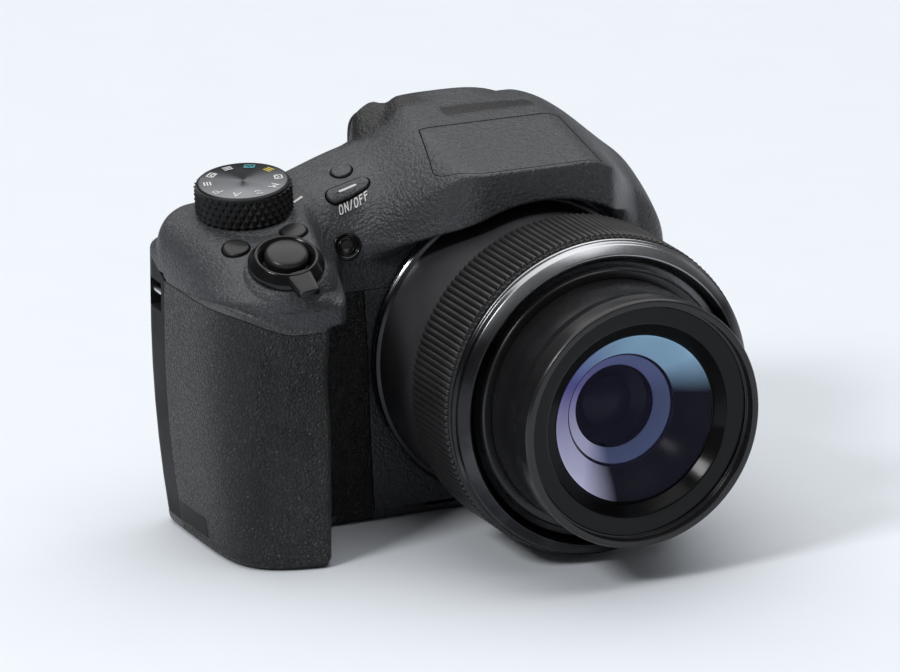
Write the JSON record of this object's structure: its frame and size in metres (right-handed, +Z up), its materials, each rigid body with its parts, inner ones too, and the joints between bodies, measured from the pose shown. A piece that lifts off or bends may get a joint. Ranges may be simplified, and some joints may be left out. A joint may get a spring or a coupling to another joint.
{
  "type": "bridge camera",
  "caption": "Bridge camera with a deep leather-grain grip, two-stage extending zoom lens behind a ribbed ring, finder hump with pop-up flash, and a tilting rear screen.",
  "frame": {"origin": "mouth of the tripod socket under the lens axis, on the base", "axes": "lens looks along -Y, hand grip at -X, +Z up"},
  "size_m": [0.1294, 0.1032, 0.0941],
  "materials": {
    "cover_plastic": "pebbled satin",
    "inner_shell": "moulded",
    "grip_leather": "leather-grain moulded rubber",
    "soft_rubber": "smooth matt rubber",
    "lens_black": "satin black",
    "ring_rubber": "ribbed",
    "bright_trim": "bright bevel",
    "name_gloss": "glossy black, bare",
    "lens_glass": "coated",
    "sensor": "dark filter glass",
    "light_alloy": "machined",
    "circuit_board": "solder resist",
    "steel": "bright",
    "battery_case": "plain",
    "latch_plastic": "moulded",
    "dial_black": "knurled",
    "dial_metal": "dark radial-spun",
    "gloss_black": "polished",
    "key_satin": "satin",
    "lamp_lens": "ribbed clear",
    "mic_mesh": "mesh",
    "screen_case": "satin",
    "dark_glass": "dark glossy"
  },
  "bodies": {
    "body": {"grip_shell": "inner_shell", "front_cover": "cover_plastic", "rear_cover": "cover_plastic", "base_cover": "cover_plastic", "top_cover": "cover_plastic", "grip_rubber": "grip_leather", "front_pad": "grip_leather", "fixed_barrel": "lens_black", "trim_ring": "bright_trim", "bezel_ring": "bright_trim", "rear_lens": "lens_glass", "image_sensor": "sensor", "chassis": "light_alloy", "main_board": "circuit_board", "tripod_bush": "light_alloy", "strap_bars": "steel", "battery_holder": "inner_shell", "battery": "battery_case", "memory_card": "battery_case", "door_pin": "steel", "af_lamp": "lamp_lens", "mic_grille": "mic_mesh", "flash_pin": "steel", "eyecup": "soft_rubber", "eye_window": "dark_glass", "finder_tube": "latch_plastic", "finder_panel": "sensor", "case_screws": "steel"},
    "mid": {"mid_barrel": "lens_black", "mid_lens": "lens_glass"},
    "front": {"front_barrel": "lens_black", "name_ring": "name_gloss", "front_lens": "lens_glass"},
    "ring": {"control_ring": "ring_rubber"},
    "dial": {"mode_dial": "dial_black", "dial_cap": "dial_metal"},
    "lever": {"zoom_lever": "gloss_black"},
    "shutter": {"shutter_button": "key_satin"},
    "custom": {"custom_key": "key_satin"},
    "focus": {"focus_key": "key_satin"},
    "finder": {"finder_key": "key_satin"},
    "power": {"power_key": "key_satin"},
    "flash": {"flash_lid": "cover_plastic", "flash_head": "latch_plastic", "flash_window": "lamp_lens"},
    "arm": {"screen_bracket": "latch_plastic"},
    "screen": {"screen_housing": "screen_case", "screen_glass": "dark_glass"},
    "movie": {"movie_key": "key_satin"},
    "play": {"play_key": "key_satin"},
    "menu": {"menu_key": "key_satin"},
    "delete": {"delete_key": "key_satin"},
    "wheel": {"control_wheel": "dial_black"},
    "centre": {"centre_key": "key_satin"},
    "thumb": {"thumb_dial": "dial_black"},
    "door": {"battery_door": "cover_plastic"},
    "latch": {"door_latch": "latch_plastic"},
    "jack": {"jack_cover": "soft_rubber"},
    "flap": {"cable_flap": "soft_rubber"}
  },
  "joints": [
    {"name": "zoom_mid", "type": "slide", "parent": "body", "child": "mid", "axis": [0, -1, 0], "range_m": [0, 0.028]},
    {"name": "zoom_front", "type": "slide", "parent": "mid", "child": "front", "axis": [0, -1, 0], "range_m": [0, 0.028]},
    {"name": "control_ring_turn", "type": "hinge", "parent": "body", "child": "ring", "pos_m": [0, -0.0445, 0.039], "axis": [0, -1, 0], "continuous": true},
    {"name": "mode_dial_turn", "type": "hinge", "parent": "body", "child": "dial", "pos_m": [-0.0636, 0.0004, 0.07527], "axis": [-0.0931, -0.0925, 0.9914], "continuous": true},
    {"name": "zoom_lever_turn", "type": "hinge", "parent": "body", "child": "lever", "pos_m": [-0.0644, -0.0246, 0.06943], "axis": [-0.1186, -0.3523, 0.9283], "range_deg": [-20, 20], "stiffness_Nm_per_rad": 0.02},
    {"name": "shutter_press", "type": "slide", "parent": "body", "child": "shutter", "axis": [0.1186, 0.3523, -0.9283], "range_m": [0, 0.0012], "stiffness_N_per_m": 1500},
    {"name": "custom_press", "type": "slide", "parent": "body", "child": "custom", "axis": [0.1785, 0.2969, -0.9381], "range_m": [0, 0.0005], "stiffness_N_per_m": 1500},
    {"name": "focus_press", "type": "slide", "parent": "body", "child": "focus", "axis": [0.1742, 0.2129, -0.9614], "range_m": [0, 0.0005], "stiffness_N_per_m": 1500},
    {"name": "finder_press", "type": "slide", "parent": "body", "child": "finder", "axis": [0.2793, 0.2284, -0.9326], "range_m": [0, 0.0005], "stiffness_N_per_m": 1500},
    {"name": "power_press", "type": "slide", "parent": "body", "child": "power", "axis": [0.277, 0.5744, -0.7703], "range_m": [0, 0.0005], "stiffness_N_per_m": 1500},
    {"name": "movie_press", "type": "slide", "parent": "body", "child": "movie", "axis": [0, -1, 0], "range_m": [0, 0.0005], "stiffness_N_per_m": 1500},
    {"name": "play_press", "type": "slide", "parent": "body", "child": "play", "axis": [0, -1, 0], "range_m": [0, 0.0005], "stiffness_N_per_m": 1500},
    {"name": "menu_press", "type": "slide", "parent": "body", "child": "menu", "axis": [0, -1, 0], "range_m": [0, 0.0005], "stiffness_N_per_m": 1500},
    {"name": "delete_press", "type": "slide", "parent": "body", "child": "delete", "axis": [0, -1, 0], "range_m": [0, 0.0005], "stiffness_N_per_m": 1500},
    {"name": "centre_press", "type": "slide", "parent": "body", "child": "centre", "axis": [0, -1, 0], "range_m": [0, 0.0005], "stiffness_N_per_m": 1500},
    {"name": "flash_pop", "type": "hinge", "parent": "body", "child": "flash", "pos_m": [-0.005, -0.0015, 0.08944], "axis": [-1, 0, 0], "range_deg": [0, 60]},
    {"name": "screen_arm", "type": "hinge", "parent": "body", "child": "arm", "pos_m": [-0.0015, 0.0132, 0.0072], "axis": [-1, 0, 0], "range_deg": [0, 45]},
    {"name": "screen_tilt", "type": "hinge", "parent": "arm", "child": "screen", "pos_m": [-0.0015, 0.0146, 0.0575], "axis": [1, 0, 0], "range_deg": [0, 90]},
    {"name": "control_wheel_turn", "type": "hinge", "parent": "body", "child": "wheel", "pos_m": [-0.058, 0.0175, 0.027], "axis": [0, 1, 0], "continuous": true},
    {"name": "thumb_dial_turn", "type": "hinge", "parent": "body", "child": "thumb", "pos_m": [-0.062, 0.0095, 0.0545], "axis": [0, 0, 1], "continuous": true},
    {"name": "battery_door_swing", "type": "hinge", "parent": "body", "child": "door", "pos_m": [-0.05725, -0.004, 0.0013], "axis": [0, -1, 0], "range_deg": [0, 95]},
    {"name": "door_latch_slide", "type": "slide", "parent": "door", "child": "latch", "axis": [1, 0, 0], "range_m": [0, 0.0025]},
    {"name": "jack_cover_swing", "type": "hinge", "parent": "body", "child": "jack", "pos_m": [0.0457, 0.0034, 0.032], "axis": [0, 0, -1], "range_deg": [0, 100]},
    {"name": "cable_flap_swing", "type": "hinge", "parent": "body", "child": "flap", "pos_m": [-0.0791, 0.0021, 0.0033], "axis": [0.1599, 0, -0.9871], "range_deg": [0, 80]}
  ],
  "couplings": [
    {"joint": "zoom_front", "follows": "zoom_mid", "ratio": 1}
  ]
}
